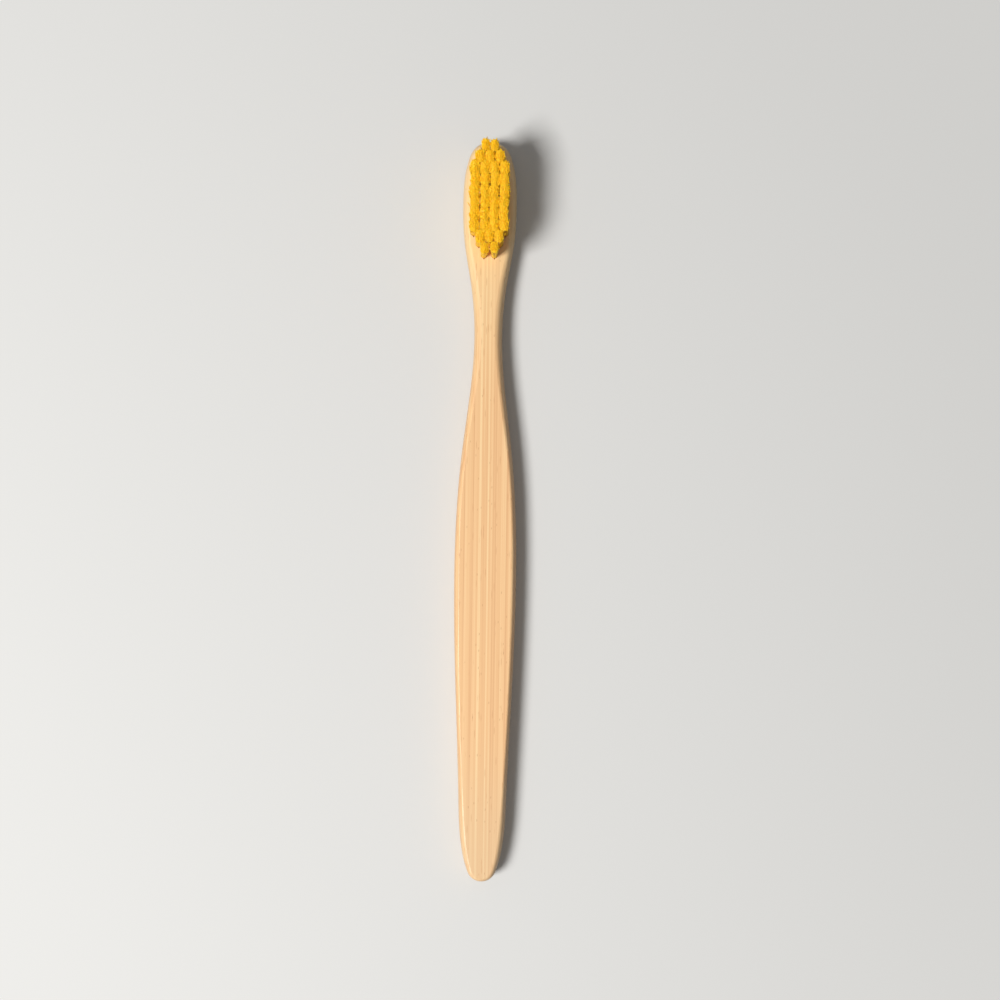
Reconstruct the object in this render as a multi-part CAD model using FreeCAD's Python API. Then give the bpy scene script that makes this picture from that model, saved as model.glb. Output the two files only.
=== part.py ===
# Manual toothbrush: a one-piece bamboo handle whose head carries folded nylon tufts,
# each held down in a drilled blind hole by a flat metal anchor.
#
# The frame has +Y from the tail to the head and +Z out of the face that carries the tufts.
# Its origin is on the flat back, on the centre line and midway along the brush.
# Sizes are in millimetres and angles in degrees.

import FreeCAD, Part
import math
import os

# Blank that the handle is cut from
overall_length = 190.0
board_thickness = 6.5

# Round ends of the plan outline, each with the angle at which its sides run off
tail_tip_radius = 4.0
tail_flare = 12.0
head_tip_radius = 5.65
head_flare = 13.7

# Plan outline between the ends: full widths and their places along the brush
heel_width = 12.3
heel_from_tail = 21.0
palm_width = 15.8
palm_from_tail = 70.0
shoulder_width = 12.84
shoulder_along_palm_to_neck = 0.576
neck_width = 7.14
neck_from_tip = 50.5
throat_width = 9.4
throat_from_tip = 36.0
cheek_width = 12.76
cheek_from_tip = 26.0
head_width = 13.76
head_from_tip = 15.0

# Rounded edges: how far the sides bulge past the flat faces
handle_edge_round = 1.3
neck_edge_round = 1.9
head_edge_round = 1.6

# Tuft field, which narrows to its first and last rows
row_count = 10
end_row_tufts = 2
full_row_tufts = 4
row_pitch = 2.83
tuft_pitch = 2.68
last_row_from_tip = 4.05

# Drilled holes and the tufts in them
hole_diameter = 1.7
hole_depth = 3.7
tuft_clearance = 0.03
tuft_height = 10.5
tuft_tip_diameter = 2.2

# Flat anchors, driven lengthwise into the holes on top of the folded tufts
anchor_thickness = 0.3
anchor_height = 1.4
anchor_bite = 0.25
fold_thickness = 0.4

# Fineness of the curves: points on each round end and outlines across the thickness
tip_steps = 3
edge_outlines = 9

tail_end = -overall_length / 2
head_end = overall_length / 2
hole_floor = board_thickness - hole_depth


def tip_points(radius, flare, inset):
    """Points of a round end as (half width, depth from the end), from its middle to its corner."""
    sweep = math.radians(90 - flare)
    angles = [sweep * i / tip_steps for i in range(tip_steps + 1)]
    return [
        ((radius - inset) * math.sin(angle), radius - (radius - inset) * math.cos(angle))
        for angle in angles
    ]


def side_points(inset_share):
    """Points (half width, place) of the right side, drawn in by a share of the edge rounds."""
    palm = tail_end + palm_from_tail
    neck = head_end - neck_from_tip
    shoulder = palm + shoulder_along_palm_to_neck * (neck - palm)
    stations = [
        (heel_width, tail_end + heel_from_tail, handle_edge_round),
        (palm_width, palm, handle_edge_round),
        (shoulder_width, shoulder, handle_edge_round),
        (neck_width, neck, neck_edge_round),
        (throat_width, head_end - throat_from_tip, neck_edge_round),
        (cheek_width, head_end - cheek_from_tip, head_edge_round),
        (head_width, head_end - head_from_tip, head_edge_round),
    ]
    tail = tip_points(tail_tip_radius, tail_flare, inset_share * handle_edge_round)
    head = tip_points(head_tip_radius, head_flare, inset_share * head_edge_round)
    points = [(half_width, tail_end + depth) for half_width, depth in tail]
    points += [(width / 2 - inset_share * edge, place) for width, place, edge in stations]
    points += [(half_width, head_end - depth) for half_width, depth in reversed(head)]
    return points


def spacing_along(points):
    """Distances along the points, which every outline shares so that the side stays smooth."""
    distances = [0.0]
    for start, end in zip(points, points[1:]):
        distances.append(distances[-1] + math.dist(start, end))
    return distances


def outline_at(roll):
    """Closed outline where the rounded edge has rolled so many radians from the middle plane."""
    height = board_thickness / 2 * (1 + math.sin(roll))
    points = side_points(1 - math.cos(roll))
    right = Part.BSplineCurve()
    right.interpolate(
        Points=[FreeCAD.Vector(half_width, place, height) for half_width, place in points],
        Parameters=spacing_along(side_points(0)),
    )
    left = right.copy()
    left.mirror(FreeCAD.Vector(0, 0, height), FreeCAD.Vector(0, 1, 0))
    left.reverse()
    return Part.Wire([right.toShape(), left.toShape()])


def handle_blank():
    """Handle with flat faces and elliptical sides, lofted from its back to its front."""
    rolls = [math.pi * (i / (edge_outlines - 1) - 0.5) for i in range(edge_outlines)]
    return Part.makeLoft([outline_at(roll) for roll in rolls], True)


def tuft_rows():
    """Centres of the tufts, row by row from the neck to the head's tip."""
    rows = []
    for row in range(row_count):
        from_nearest_end = min(row, row_count - 1 - row)
        count = min(full_row_tufts, end_row_tufts + from_nearest_end)
        place = head_end - last_row_from_tip - (row_count - 1 - row) * row_pitch
        middle = (count - 1) / 2
        rows.append([FreeCAD.Vector((i - middle) * tuft_pitch, place, 0) for i in range(count)])
    return rows


def hole_at(centre):
    """Blind hole that the tuft stands in, left open at the front face."""
    floor = centre + FreeCAD.Vector(0, 0, hole_floor)
    return Part.makeCylinder(hole_diameter / 2, board_thickness, floor)


def upright_plate(centre, height):
    """Plate of the anchor's plan, standing on the fold with its ends past the hole's wall."""
    length = hole_diameter + 2 * anchor_bite
    corner = FreeCAD.Vector(-anchor_thickness / 2, -length / 2, hole_floor + fold_thickness)
    return Part.makeBox(anchor_thickness, length, height, centre + corner)


def anchor_at(centre):
    """Flat anchor along the hole's middle, with both ends bitten into its wall."""
    return upright_plate(centre, anchor_height)


def slit_at(centre):
    """Slit that the anchor cuts down the hole's wall on its way in from the front face."""
    return upright_plate(centre, board_thickness)


def tuft_at(centre):
    """Folded bundle: straight in its hole, splayed above the head and parted by the anchor."""
    root = hole_diameter / 2 - tuft_clearance
    tip = tuft_tip_diameter / 2
    top = board_thickness + tuft_height
    stem = Part.makePolygon([
        FreeCAD.Vector(0, 0, top),
        FreeCAD.Vector(0, 0, hole_floor),
        FreeCAD.Vector(root, 0, hole_floor),
        FreeCAD.Vector(root, 0, board_thickness),
    ])
    splay = Part.BezierCurve()
    splay.setPoles([
        FreeCAD.Vector(root, 0, board_thickness),
        FreeCAD.Vector(root, 0, board_thickness + tuft_height / 2),
        FreeCAD.Vector(tip, 0, top),
    ])
    trim = Part.LineSegment(FreeCAD.Vector(tip, 0, top), FreeCAD.Vector(0, 0, top))
    profile = Part.Wire(stem.Edges + [splay.toShape(), trim.toShape()])
    bundle = Part.Face(profile).revolve(FreeCAD.Vector(), FreeCAD.Vector(0, 0, 1))
    return bundle.translated(centre).cut(anchor_at(centre))


def handle(rows):
    """Blank with a hole for every tuft and the slit that each anchor bites into."""
    tools = []
    for row in rows:
        for centre in row:
            tools.append(hole_at(centre))
            tools.append(slit_at(centre))
    return handle_blank().cut(tools)


os.makedirs("parts", exist_ok=True)
rows = tuft_rows()
handle(rows).exportStep("parts/bamboo_handle.step")
for row_number, row in enumerate(rows, 1):
    for column, centre in enumerate(row, 1):
        tuft_at(centre).exportStep(f"parts/tuft_row{row_number:02d}_{column}.step")
    anchors = Part.makeCompound([anchor_at(centre) for centre in row])
    anchors.exportStep(f"parts/anchors_row{row_number:02d}.step")
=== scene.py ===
# Looks of the manual toothbrush: sanded bamboo, folded nylon filaments and flat metal anchors.
# Lengths are in millimetres until they are scaled to the frame's metres.

import math
import random

import bpy
from mathutils import Euler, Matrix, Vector


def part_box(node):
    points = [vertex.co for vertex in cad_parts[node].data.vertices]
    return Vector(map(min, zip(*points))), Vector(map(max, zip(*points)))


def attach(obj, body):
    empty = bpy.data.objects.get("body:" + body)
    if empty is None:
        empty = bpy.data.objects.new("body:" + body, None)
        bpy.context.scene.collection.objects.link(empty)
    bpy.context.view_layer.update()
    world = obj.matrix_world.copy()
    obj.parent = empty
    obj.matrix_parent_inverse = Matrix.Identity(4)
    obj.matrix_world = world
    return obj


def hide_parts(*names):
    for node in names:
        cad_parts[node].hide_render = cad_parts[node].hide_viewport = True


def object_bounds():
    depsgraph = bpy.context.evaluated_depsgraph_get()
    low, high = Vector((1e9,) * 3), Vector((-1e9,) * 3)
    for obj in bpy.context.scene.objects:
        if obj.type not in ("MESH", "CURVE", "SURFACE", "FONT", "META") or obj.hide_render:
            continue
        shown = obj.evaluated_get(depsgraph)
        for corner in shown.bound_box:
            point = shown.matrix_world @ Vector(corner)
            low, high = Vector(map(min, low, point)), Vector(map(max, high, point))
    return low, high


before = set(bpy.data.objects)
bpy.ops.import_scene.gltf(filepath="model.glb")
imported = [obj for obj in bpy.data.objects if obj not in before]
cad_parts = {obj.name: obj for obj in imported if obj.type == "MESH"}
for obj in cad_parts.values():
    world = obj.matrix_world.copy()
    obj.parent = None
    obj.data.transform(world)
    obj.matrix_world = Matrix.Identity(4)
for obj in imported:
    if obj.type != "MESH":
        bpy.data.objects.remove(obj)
cad_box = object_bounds()

MM = 0.001

# Filaments of one tuft, each folded once under the tuft's anchor. Their tips spread past the plain
# solid, by the number of tufts in the row, and run together with those of the next row. They are
# trimmed to a crown, and gather towards the brush's middle by a share of their place across it.
FOLDED_FILAMENTS = 64
FILAMENT_DIAMETER = 0.2
FILAMENT_SIDES = 6
ROOT_DIAMETER = 1.64
PARTING = 0.2
LEAST_CHORD = 0.2
FOLD_WIDTH = 0.7
FREE_STEPS = 4
TIP_SPREAD = {2: 1.0, 3: 1.14, 4: 1.22}
TIP_STRETCH = (0.98, 1.4)
TIP_SQUARENESS = 3.0
TIP_SCATTER = 0.18
TUFT_LEAN = 0.1
BOW = 0.08
STRAY_SHARE = 0.12
STRAY_REACH = 0.3
TRIM_SCATTER = 0.3
CROWN = 0.4
GATHERING = 0.11

# Rounded end of a filament, as shares of its radius, and its bands that are shaded flat
RIM_SHARE = 0.78
RIM_RISE = 0.26
CAP_RISE = 0.4
CAP_BANDS = 2

# Packed middle of a tuft, which stands for the filaments out of sight and is marked with their ends
CORE_SIDES = 18
CORE_DROP = 0.42
CORE_TONE = 0.5
PACKED_CELL_HEIGHT = 20.0
PACKED_RELIEF = 0.08

# Margin of each tube's strip in the flat map
STRIP_MARGIN = 0.06

# Bamboo: the part of a fleck that is at its darkest, and how deep the grain is
FLECK_HEART = 0.4
GRAIN_RELIEF = 0.04

# Places between which the bamboo's tones change along the brush, and heights between which painted light
# pales the nylon towards its roots
HEAD_TONE_START = 20.0
HEAD_TONE_END = 80.0
TAIL_TONE_START = -50.0
TAIL_TONE_END = -92.0
ROOT_LIGHT_START = 13.0
ROOT_LIGHT_END = 6.0

# Photograph's view, with pixels counted from its upper left corner
IMAGE_SIDE = 1000
MIDDLE_PIXEL = (486.0, 511.6)
BRUSH_PIXELS = 737.4
BRUSH_LEAN = 0.754
CAMERA_HEIGHT = 340.0
SENSOR_WIDTH = 36.0
CLIP_START = 10.0

# Studio: a soft key light from the left and a little from the tail, an even sky and a pale floor
KEY_ELEVATION = 53.0
KEY_TAILWARD = 26.0
KEY_DISTANCE = 1300.0
KEY_SIZE = 420.0
KEY_SHARE = 0.80
SKY_SHARE = 0.20
LIGHT_BOUNCES = 12
FLOOR_RADIUS = 4000.0
FLOOR_SIDES = 96
FADE_START = 120.0
FADE_END = 420.0
CONTACT = 0.2


def srgb(red, green, blue):
    """Linear colour of an 8-bit screen colour."""
    def linear(value):
        share = value / 255
        return share / 12.92 if share <= 0.04045 else ((share + 0.055) / 1.055) ** 2.4

    return (linear(red), linear(green), linear(blue), 1.0)


BACKDROP = srgb(226, 225, 222)
FLOOR_BOUNCE = srgb(112, 111, 109)


def new_material(name):
    """Empty node material and its principled shader."""
    material = bpy.data.materials.new(name)
    material.use_nodes = True
    tree = material.node_tree
    surface = next(node for node in tree.nodes if node.type == "BSDF_PRINCIPLED")
    return material, tree, surface


def add_node(tree, kind, inputs=None, **settings):
    """Adds a node, sets its settings, and gives each named input a value or a link."""
    node = tree.nodes.new(kind)
    for name, value in settings.items():
        setattr(node, name, value)
    for name, value in (inputs or {}).items():
        if isinstance(value, bpy.types.NodeSocket):
            tree.links.new(value, node.inputs[name])
        else:
            node.inputs[name].default_value = value
    return node


def calculate(tree, operation, first, second):
    """Result of a sum, product or other operation on two values."""
    return add_node(tree, "ShaderNodeMath", {0: first, 1: second}, operation=operation).outputs[0]


def graded(tree, value, low, high, to_low=0.0, to_high=1.0):
    """Value eased from one range, which may run down, into another."""
    inputs = {"Value": value, "From Min": low, "From Max": high, "To Min": to_low, "To Max": to_high}
    node = add_node(tree, "ShaderNodeMapRange", inputs, interpolation_type="SMOOTHSTEP")
    return node.outputs["Result"]


def mixed(tree, share, first, second):
    """Two colours mixed by a share."""
    node = add_node(tree, "ShaderNodeMix", data_type="RGBA")
    colour_inputs = [socket for socket in node.inputs if socket.type == "RGBA"]
    for socket, value in zip([node.inputs["Factor"], *colour_inputs], (share, first, second)):
        if isinstance(value, bpy.types.NodeSocket):
            tree.links.new(value, socket)
        else:
            socket.default_value = value
    return next(socket for socket in node.outputs if socket.type == "RGBA")


def ramped(tree, value, stops):
    """Colour read from evenly eased stops of (place, colour)."""
    node = add_node(tree, "ShaderNodeValToRGB", {"Fac": value})
    node.color_ramp.interpolation = "EASE"
    elements = node.color_ramp.elements
    while len(elements) < len(stops):
        elements.new(1.0)
    for element, (place, colour) in zip(elements, stops):
        element.position = place
        element.color = colour
    return node.outputs["Color"]


def stretched(tree, place, across, along, up=None):
    """Coordinates whose unit is so many millimetres across, along and up from the brush."""
    scale = [1 / (unit * MM) for unit in (across, along, up or across)]
    return add_node(tree, "ShaderNodeMapping", {"Vector": place, "Scale": scale}).outputs["Vector"]


def streaks(tree, place, across, along, detail=3.0):
    """Noise drawn out into streaks along the brush."""
    inputs = {"Vector": stretched(tree, place, across, along), "Scale": 1.0, "Detail": detail}
    return add_node(tree, "ShaderNodeTexNoise", inputs).outputs["Fac"]


def cells(tree, place, across, along, up=None):
    """Cells of a given size: the distance from the middle of each and its random value."""
    inputs = {"Vector": stretched(tree, place, across, along, up), "Scale": 1.0}
    node = add_node(tree, "ShaderNodeTexVoronoi", inputs)
    chance = add_node(tree, "ShaderNodeSeparateColor", {0: node.outputs["Color"]}).outputs["Red"]
    return node.outputs["Distance"], chance


def flecks(tree, place, across, along, size, share):
    """Short dashes along the brush, in a share of the cells."""
    distance, chance = cells(tree, place, across, along)
    kept = calculate(tree, "LESS_THAN", chance, share)
    return calculate(tree, "MULTIPLY", graded(tree, distance, size, size * FLECK_HEART), kept)


def weighted(tree, parts):
    """Sum of values, each times its weight."""
    total = 0.0
    for value, weight in parts:
        total = calculate(tree, "ADD", total, calculate(tree, "MULTIPLY", value, weight))
    return total


def bamboo_material():
    """Sanded bamboo: straight strands along the brush, paler at the head and greyer at the tail."""
    material, tree, surface = new_material("sanded_bamboo")
    place = add_node(tree, "ShaderNodeTexCoord").outputs["Object"]
    _, strand = cells(tree, place, across=0.5, along=600)
    bands = streaks(tree, place, across=3.0, along=160, detail=2.0)
    fibres = streaks(tree, place, across=0.3, along=70)
    hairs = streaks(tree, place, across=0.12, along=16, detail=2.0)
    dashes = flecks(tree, place, across=0.55, along=5.0, size=0.3, share=0.35)
    pores = flecks(tree, place, across=0.7, along=2.4, size=0.2, share=0.25)

    ground = ramped(tree, weighted(tree, [(strand, 0.3), (fibres, 0.45), (bands, 0.25)]), [
        (0.30, srgb(232, 180, 128)),
        (0.46, srgb(244, 195, 141)),
        (0.56, srgb(248, 201, 147)),
        (0.72, srgb(255, 218, 164)),
    ])
    along = add_node(tree, "ShaderNodeSeparateXYZ", {0: place}).outputs["Y"]
    headward = graded(tree, along, HEAD_TONE_START * MM, HEAD_TONE_END * MM, to_high=0.5)
    tailward = graded(tree, along, TAIL_TONE_START * MM, TAIL_TONE_END * MM, to_high=0.5)
    toned = mixed(tree, headward, ground, srgb(255, 226, 168))
    toned = mixed(tree, tailward, toned, srgb(229, 197, 154))
    dashed = mixed(tree, calculate(tree, "MULTIPLY", dashes, 0.4), toned, srgb(208, 150, 98))
    flecked = mixed(tree, calculate(tree, "MULTIPLY", pores, 0.4), dashed, srgb(176, 120, 74))
    tree.links.new(flecked, surface.inputs["Base Color"])

    roughness = graded(tree, fibres, 0.3, 0.7, to_low=0.5, to_high=0.36)
    tree.links.new(roughness, surface.inputs["Roughness"])
    surface.inputs["Specular IOR Level"].default_value = 0.45
    relief = weighted(tree, [(strand, 0.2), (fibres, 0.5), (hairs, 0.5), (dashes, -0.4), (pores, -0.4)])
    depth = GRAIN_RELIEF * MM
    bump = add_node(tree, "ShaderNodeBump", {"Height": relief, "Strength": 0.5, "Distance": depth})
    tree.links.new(bump.outputs["Normal"], surface.inputs["Normal"])
    return material


def nylon_material():
    """Yellow nylon, a little different in each filament, with painted light that makes it paler towards
    the roots; where it is packed, cells stand for the filaments, with painted shade at their edges."""
    material, tree, surface = new_material("yellow_nylon")
    tone = add_node(tree, "ShaderNodeAttribute", attribute_name="tone").outputs["Fac"]
    packing = add_node(tree, "ShaderNodeAttribute", attribute_name="packing").outputs["Fac"]
    place = add_node(tree, "ShaderNodeTexCoord").outputs["Object"]
    height = add_node(tree, "ShaderNodeSeparateXYZ", {0: place}).outputs["Z"]
    clouds = streaks(tree, place, across=1.1, along=1.1, detail=2.0)
    off_middle, chance = cells(tree, place, FILAMENT_DIAMETER, FILAMENT_DIAMETER, PACKED_CELL_HEIGHT)
    packed_tone = calculate(tree, "MULTIPLY", packing, calculate(tree, "SUBTRACT", chance, CORE_TONE))
    tone = calculate(tree, "ADD", tone, packed_tone)

    body = ramped(tree, weighted(tree, [(tone, 0.7), (clouds, 0.3)]), [
        (0.1, srgb(255, 200, 12)),
        (0.45, srgb(255, 212, 20)),
        (0.8, srgb(255, 224, 48)),
    ])
    # Painted light: lower down, the filaments are mixed towards a paler yellow, standing in for light that
    # shines through the nylon to the roots.
    painted_root_light = graded(tree, height, ROOT_LIGHT_START * MM, ROOT_LIGHT_END * MM, to_high=0.6)
    toned = mixed(tree, painted_root_light, body, srgb(255, 218, 92))
    # Painted shade: the packed middle turns a deeper orange at the edges of its cells, between the filament
    # ends.
    painted_crevice_shade = calculate(tree, "MULTIPLY", packing, graded(tree, off_middle, 0.4, 0.75, to_high=0.5))
    tree.links.new(mixed(tree, painted_crevice_shade, toned, srgb(236, 160, 6)), surface.inputs["Base Color"])

    hollow = calculate(tree, "MULTIPLY", packing, calculate(tree, "MULTIPLY", off_middle, -1.0))
    depth = PACKED_RELIEF * MM
    bump = add_node(tree, "ShaderNodeBump", {"Height": hollow, "Strength": 0.6, "Distance": depth})
    tree.links.new(bump.outputs["Normal"], surface.inputs["Normal"])
    roughness = graded(tree, clouds, 0.3, 0.7, to_low=0.34, to_high=0.5)
    tree.links.new(roughness, surface.inputs["Roughness"])
    surface.inputs["IOR"].default_value = 1.53
    surface.inputs["Specular IOR Level"].default_value = 0.3
    surface.inputs["Sheen Weight"].default_value = 0.6
    surface.inputs["Sheen Roughness"].default_value = 0.6
    surface.inputs["Sheen Tint"].default_value = srgb(255, 204, 60)
    return material


def anchor_material():
    """Drawn brass strip with fine scratches along it."""
    material, tree, surface = new_material("drawn_brass")
    place = add_node(tree, "ShaderNodeTexCoord").outputs["Object"]
    scratches = streaks(tree, place, across=0.03, along=1.5)
    colour = ramped(tree, scratches, [(0.3, srgb(196, 164, 104)), (0.7, srgb(226, 200, 142))])
    tree.links.new(colour, surface.inputs["Base Color"])
    roughness = graded(tree, scratches, 0.3, 0.7, to_low=0.25, to_high=0.45)
    tree.links.new(roughness, surface.inputs["Roughness"])
    surface.inputs["Metallic"].default_value = 1.0
    return material


def tuft_roots():
    """Places in the right half of the hole for one leg of each folded filament, as shares of its radius."""
    golden = math.pi * (3 - math.sqrt(5))
    legs = 2 * FOLDED_FILAMENTS
    spiral = [(math.sqrt((i + 0.5) / legs), i * golden) for i in range(legs)]
    points = [(radius * math.cos(angle), radius * math.sin(angle)) for radius, angle in spiral]
    return sorted(points)[FOLDED_FILAMENTS:]


def squared(across, along):
    """Stretch that brings a round of tips towards the square that its neighbours leave it."""
    size = math.hypot(across, along)
    power = TIP_SQUARENESS
    return (abs(across / size) ** power + abs(along / size) ** power) ** (-1 / power)


def leg_points(rng, share, side, tuft):
    """Points of one leg from its tip down to the face of the head."""
    radius = tuft["root_radius"]
    across, along = share[0] * side, share[1]
    chord = math.sqrt(max(1 - along * along, 0.0))
    parted = side * (PARTING / 2 + abs(across) * (radius - PARTING / 2 / max(chord, LEAST_CHORD)))
    root = Vector((parted, along * radius))
    tip = Vector((across, along)) * tuft["reach"] * squared(across, along) + tuft["lean"]
    tip += Vector((rng.gauss(0, TIP_SCATTER), rng.gauss(0, TIP_SCATTER)))
    if rng.random() < STRAY_SHARE:
        tip += Vector((across, along)) * STRAY_REACH
    bow = Vector((rng.uniform(-BOW, BOW), rng.uniform(-BOW, BOW)))
    trim = rng.uniform(0, TRIM_SCATTER) + CROWN * across * across
    top = tuft["top"] - trim - CAP_RISE * FILAMENT_DIAMETER / 2
    points = []
    for step in range(FREE_STEPS, -1, -1):
        rise = step / FREE_STEPS
        flat = root.lerp(tip, rise ** 2) + bow * math.sin(math.pi * rise)
        points.append(Vector((flat.x, flat.y, tuft["face"] + rise * (top - tuft["face"]))))
    return points


def folded_path(rng, share, tuft):
    """Points of one filament: down one leg, under the anchor and up the other leg."""
    right = leg_points(rng, share, 1, tuft)
    left = leg_points(rng, share, -1, tuft)
    room = tuft["anchor_foot"] - tuft["floor"] - FILAMENT_DIAMETER
    low = tuft["floor"] + FILAMENT_DIAMETER / 2 + room * (1 - abs(share[0]))

    def shaft(leg):
        root = leg[-1]
        return [
            Vector((root.x, root.y, tuft["anchor_foot"] + FILAMENT_DIAMETER)),
            Vector((root.x * FOLD_WIDTH, root.y, low)),
        ]

    return [*right, *shaft(right), *reversed(shaft(left)), *reversed(left)]


def ring(centre, heading, radius):
    """Corners of a filament's section, square to its heading."""
    first = Vector((0, 1, 0)) - heading * heading.y
    first.normalize()
    second = heading.cross(first)
    turns = [2 * math.pi * i / FILAMENT_SIDES for i in range(FILAMENT_SIDES)]
    return [centre + radius * (math.cos(turn) * first + math.sin(turn) * second) for turn in turns]


def filament(path):
    """Sections of a filament along its path, with rounded ends that close to a point."""
    radius = FILAMENT_DIAMETER / 2
    headings = [
        (path[min(i + 1, len(path) - 1)] - path[max(i - 1, 0)]).normalized()
        for i in range(len(path))
    ]
    sections = [ring(point, heading, radius) for point, heading in zip(path, headings)]
    start, end = path[0], path[-1]
    out, on = -headings[0] * radius, headings[-1] * radius
    return [
        [start + out * CAP_RISE],
        ring(start + out * RIM_RISE, headings[0], RIM_SHARE * radius),
        *sections,
        ring(end + on * RIM_RISE, headings[-1], RIM_SHARE * radius),
        [end + on * CAP_RISE],
    ]


def core(tuft):
    """Sections of the filaments' packed middle, as one closed bundle above the anchor."""
    free = tuft["top"] - tuft["face"]
    heights = [tuft["core_foot"]]
    heights += [tuft["face"] + free * step / FREE_STEPS for step in range(FREE_STEPS)]
    heights.append(tuft["top"] - CORE_DROP)
    turns = [2 * math.pi * i / CORE_SIDES for i in range(CORE_SIDES)]
    sections = []
    for height in heights:
        splay = (max(height - tuft["face"], 0.0) / free) ** 2
        middle = tuft["lean"] * splay
        reach = Vector((tuft["root_radius"], tuft["root_radius"])).lerp(tuft["reach"], splay)
        section = []
        for turn in turns:
            out = Vector((math.cos(turn), math.sin(turn)))
            flat = middle + out * reach * (1 + splay * (squared(*out) - 1))
            section.append(Vector((flat.x, flat.y, height - splay * CROWN * out.x * out.x)))
        sections.append(section)
    foot = Vector((0, 0, heights[0]))
    head = Vector((middle.x, middle.y, heights[-1]))
    return [[foot], *sections, [head]]


def strip(number, count, side, sides):
    """Left and right bounds in the flat map of one side of a tube that has a strip to itself."""
    room = (1 - 2 * STRIP_MARGIN) / sides
    left = (number + STRIP_MARGIN + room * side) / count
    return left, left + room / count


def skinned(name, tubes, centre):
    """Mesh over tubes of sections, each with its tone and packing; a section can be a single point."""
    corners, tones, packings, faces, flat_map, smooth = [], [], [], [], [], []
    for number, (sections, tone, packing) in enumerate(tubes):
        sides, bands = len(sections[1]), len(sections) - 1
        starts = []
        for section in sections:
            starts.append(len(corners))
            corners += [(centre + corner) * MM for corner in section]
            tones += [tone] * len(section)
            packings += [packing] * len(section)
        for band in range(bands):
            low, high = starts[band], starts[band + 1]
            foot, head = band / bands, (band + 1) / bands
            for i in range(sides):
                j = (i + 1) % sides
                left, right = strip(number, len(tubes), i, sides)
                face = [
                    (low + i, left, foot),
                    (low + j, right, foot),
                    (high + j, right, head),
                    (high + i, left, head),
                ]
                if band == 0:
                    face[:2] = [(low, left, foot)]
                if band == bands - 1:
                    face[2:] = [(high, left, head)]
                faces.append([corner for corner, _, _ in face])
                flat_map += [place for corner in face for place in corner[1:]]
                smooth.append(CAP_BANDS <= band < bands - CAP_BANDS)
    mesh = bpy.data.meshes.new(name)
    mesh.from_pydata(corners, [], faces)
    mesh.attributes.new("tone", "FLOAT", "POINT").data.foreach_set("value", tones)
    mesh.attributes.new("packing", "FLOAT", "POINT").data.foreach_set("value", packings)
    mesh.uv_layers.new(name="OFBake").data.foreach_set("uv", flat_map)
    mesh.polygons.foreach_set("use_smooth", smooth)
    return mesh


def tuft_piece(name, node, anchors, spread, seed, material):
    """Tuft of folded filaments in place of its plain solid, gathered towards the brush's middle."""
    rng = random.Random(seed)
    low, high = (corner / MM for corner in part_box(node))
    anchor_low, anchor_high = (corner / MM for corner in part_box(anchors))
    centre = Vector(((low.x + high.x) / 2, (low.y + high.y) / 2, 0))
    tip_radius = (high.x - low.x) / 2
    gathered = Vector((-GATHERING * centre.x, 0))
    tuft = {
        "root_radius": (ROOT_DIAMETER - FILAMENT_DIAMETER) / 2,
        "reach": Vector(TIP_STRETCH) * tip_radius * spread - Vector((1, 1)) * FILAMENT_DIAMETER / 2,
        "lean": Vector((rng.gauss(0, TUFT_LEAN), rng.gauss(0, TUFT_LEAN))) + gathered,
        "top": high.z,
        "floor": low.z,
        "face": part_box("bamboo_handle")[1].z / MM,
        "anchor_foot": anchor_low.z,
        "core_foot": anchor_high.z + FILAMENT_DIAMETER,
    }
    tubes = [(core(tuft), CORE_TONE, 1.0)]
    tubes += [(filament(folded_path(rng, share, tuft)), rng.random(), 0.0) for share in tuft_roots()]
    mesh = skinned(name, tubes, centre)
    mesh.materials.append(material)
    piece = bpy.data.objects.new(name, mesh)
    bpy.context.scene.collection.objects.link(piece)
    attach(piece, "root")
    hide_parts(node)


def dress_tufts():
    """Filaments for every tuft, row by row."""
    material = nylon_material()
    nodes = sorted(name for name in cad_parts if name.startswith("tuft_"))
    for seed, node in enumerate(nodes):
        row = node.split("_")[1]
        in_row = sum(other.startswith(f"tuft_{row}_") for other in nodes)
        name = node.replace("tuft", "filaments")
        tuft_piece(name, node, "anchors_" + row, TIP_SPREAD[in_row], seed, material)


def dress_solids():
    """Finishes of the handle and the anchors."""
    bamboo = bamboo_material()
    brass = anchor_material()
    for name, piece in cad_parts.items():
        if name == "bamboo_handle":
            piece.data.materials[0] = bamboo
        elif name.startswith("anchors_"):
            piece.data.materials[0] = brass


def seen_rays(tree):
    """Light paths in a tree, and whether a ray is one that shows the backdrop."""
    rays = add_node(tree, "ShaderNodeLightPath").outputs
    seen = calculate(tree, "MAXIMUM", rays["Is Camera Ray"], rays["Is Glossy Ray"])
    return rays, calculate(tree, "MAXIMUM", seen, rays["Is Transmission Ray"])


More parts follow.
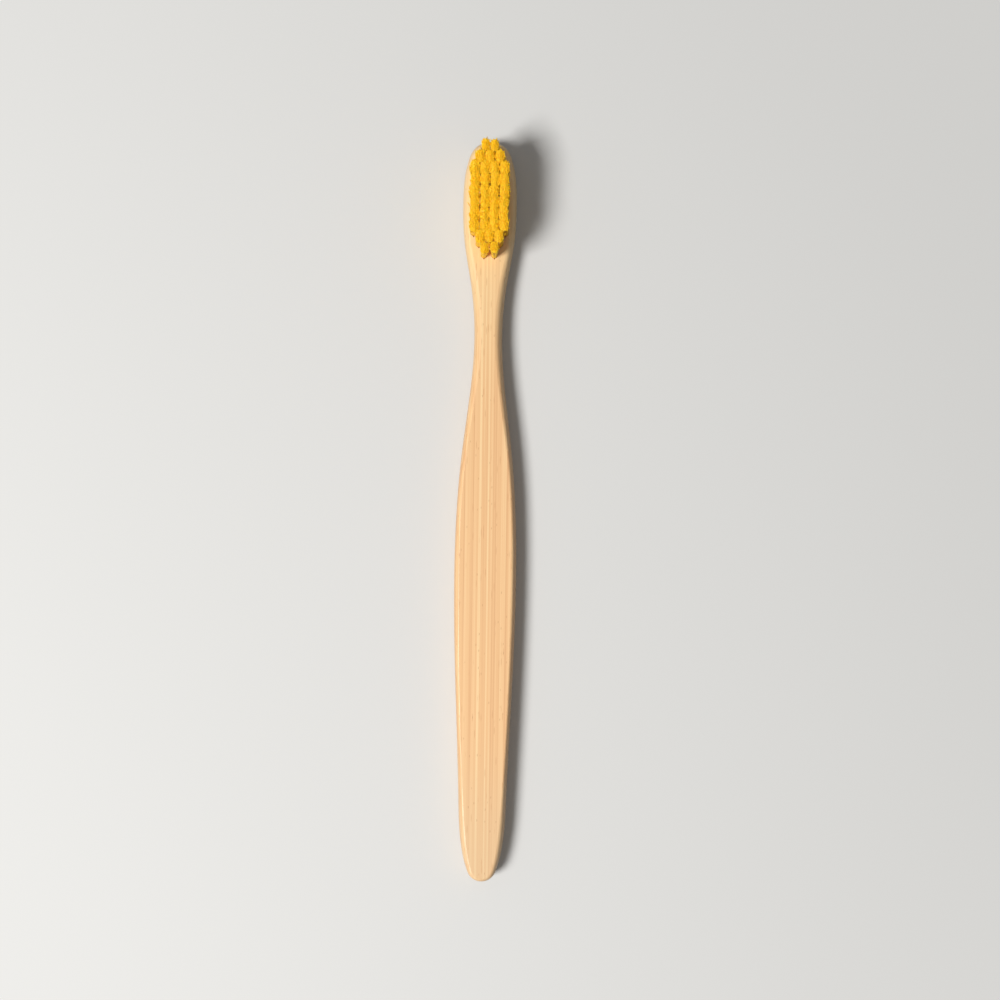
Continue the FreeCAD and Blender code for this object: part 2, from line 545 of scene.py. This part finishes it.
def floor_material():
    """Pale floor that fades into the backdrop, throws back less light and is clear from below and
    to rays from the brush's back, which lies on it."""
    material, tree, surface = new_material("pale_floor")
    rays, seen = seen_rays(tree)
    tree.links.new(mixed(tree, seen, FLOOR_BOUNCE, BACKDROP), surface.inputs["Base Color"])
    surface.inputs["Roughness"].default_value = 1.0
    surface.inputs["Specular IOR Level"].default_value = 0.0

    place = add_node(tree, "ShaderNodeTexCoord").outputs["Object"]
    distance = add_node(tree, "ShaderNodeVectorMath", {0: place}, operation="LENGTH").outputs["Value"]
    far = graded(tree, distance, FADE_START * MM, FADE_END * MM)
    backdrop = add_node(tree, "ShaderNodeEmission", {"Color": BACKDROP}).outputs[0]
    faded = calculate(tree, "MULTIPLY", far, seen)
    seamless = add_node(tree, "ShaderNodeMixShader", {0: faded, 1: surface.outputs[0], 2: backdrop})

    below = add_node(tree, "ShaderNodeNewGeometry").outputs["Backfacing"]
    touching = calculate(tree, "LESS_THAN", rays["Ray Length"], CONTACT * MM)
    clear = add_node(tree, "ShaderNodeBsdfTransparent").outputs[0]
    open_share = calculate(tree, "MAXIMUM", below, touching)
    sided = add_node(tree, "ShaderNodeMixShader", {0: open_share, 1: seamless.outputs[0], 2: clear})
    output = next(node for node in tree.nodes if node.type == "OUTPUT_MATERIAL")
    tree.links.new(sided.outputs[0], output.inputs["Surface"])
    return material


def add_floor():
    """Round floor that the brush lies on."""
    turns = [2 * math.pi * i / FLOOR_SIDES for i in range(FLOOR_SIDES)]
    rim = [(FLOOR_RADIUS * MM * math.cos(turn), FLOOR_RADIUS * MM * math.sin(turn), 0) for turn in turns]
    mesh = bpy.data.meshes.new("floor")
    mesh.from_pydata(rim, [], [tuple(range(FLOOR_SIDES))])
    mesh.materials.append(floor_material())
    floor = bpy.data.objects.new("floor", mesh)
    bpy.context.scene.collection.objects.link(floor)


def add_sky():
    """Even light from all round, seen as a pale backdrop."""
    world = bpy.data.worlds.new("studio")
    world.use_nodes = True
    bpy.context.scene.world = world
    tree = world.node_tree
    background = next(node for node in tree.nodes if node.type == "BACKGROUND")
    _, seen = seen_rays(tree)
    dim = (SKY_SHARE, SKY_SHARE, SKY_SHARE, 1.0)
    tree.links.new(mixed(tree, seen, dim, BACKDROP), background.inputs["Color"])


def add_key_light():
    """Square soft light, which gives an upward white surface its share of white."""
    lamp = bpy.data.lights.new("key", "AREA")
    lamp.shape = "SQUARE"
    lamp.size = KEY_SIZE * MM
    rise = math.radians(KEY_ELEVATION)
    turn = math.radians(KEY_TAILWARD)
    flat = math.cos(rise)
    away = Vector((-flat * math.cos(turn), -flat * math.sin(turn), math.sin(rise)))
    # Square on, the lamp gives its energy / (pi * distance ** 2), and white takes pi to look white
    lamp.energy = KEY_SHARE * math.pi ** 2 * (KEY_DISTANCE * MM) ** 2 / math.sin(rise)
    key = bpy.data.objects.new("key", lamp)
    key.location = away * KEY_DISTANCE * MM
    key.rotation_euler = away.to_track_quat("Z", "Y").to_euler()
    bpy.context.scene.collection.objects.link(key)


def add_camera():
    """Camera straight above, turned and placed so that the brush falls where the photograph has it."""
    length = (cad_box[1].y - cad_box[0].y) / MM
    middle_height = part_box("bamboo_handle")[1].z / MM / 2
    scale = length / BRUSH_PIXELS
    turn = Euler((0, 0, math.radians(BRUSH_LEAN)))
    offset = Vector((IMAGE_SIDE / 2 - MIDDLE_PIXEL[0], MIDDLE_PIXEL[1] - IMAGE_SIDE / 2, 0)) * scale
    offset.rotate(turn)
    data = bpy.data.cameras.new("photo_view")
    data.sensor_width = SENSOR_WIDTH
    data.lens = SENSOR_WIDTH * (CAMERA_HEIGHT - middle_height) / (IMAGE_SIDE * scale)
    data.clip_start = CLIP_START * MM
    camera = bpy.data.objects.new("photo_view", data)
    camera.location = Vector((offset.x, offset.y, CAMERA_HEIGHT)) * MM
    camera.rotation_euler = turn
    bpy.context.scene.collection.objects.link(camera)
    bpy.context.scene.camera = camera


dress_solids()
dress_tufts()
add_floor()
add_sky()
add_key_light()
add_camera()
bpy.context.scene.view_settings.view_transform = "Standard"
bpy.context.scene.cycles.diffuse_bounces = LIGHT_BOUNCES
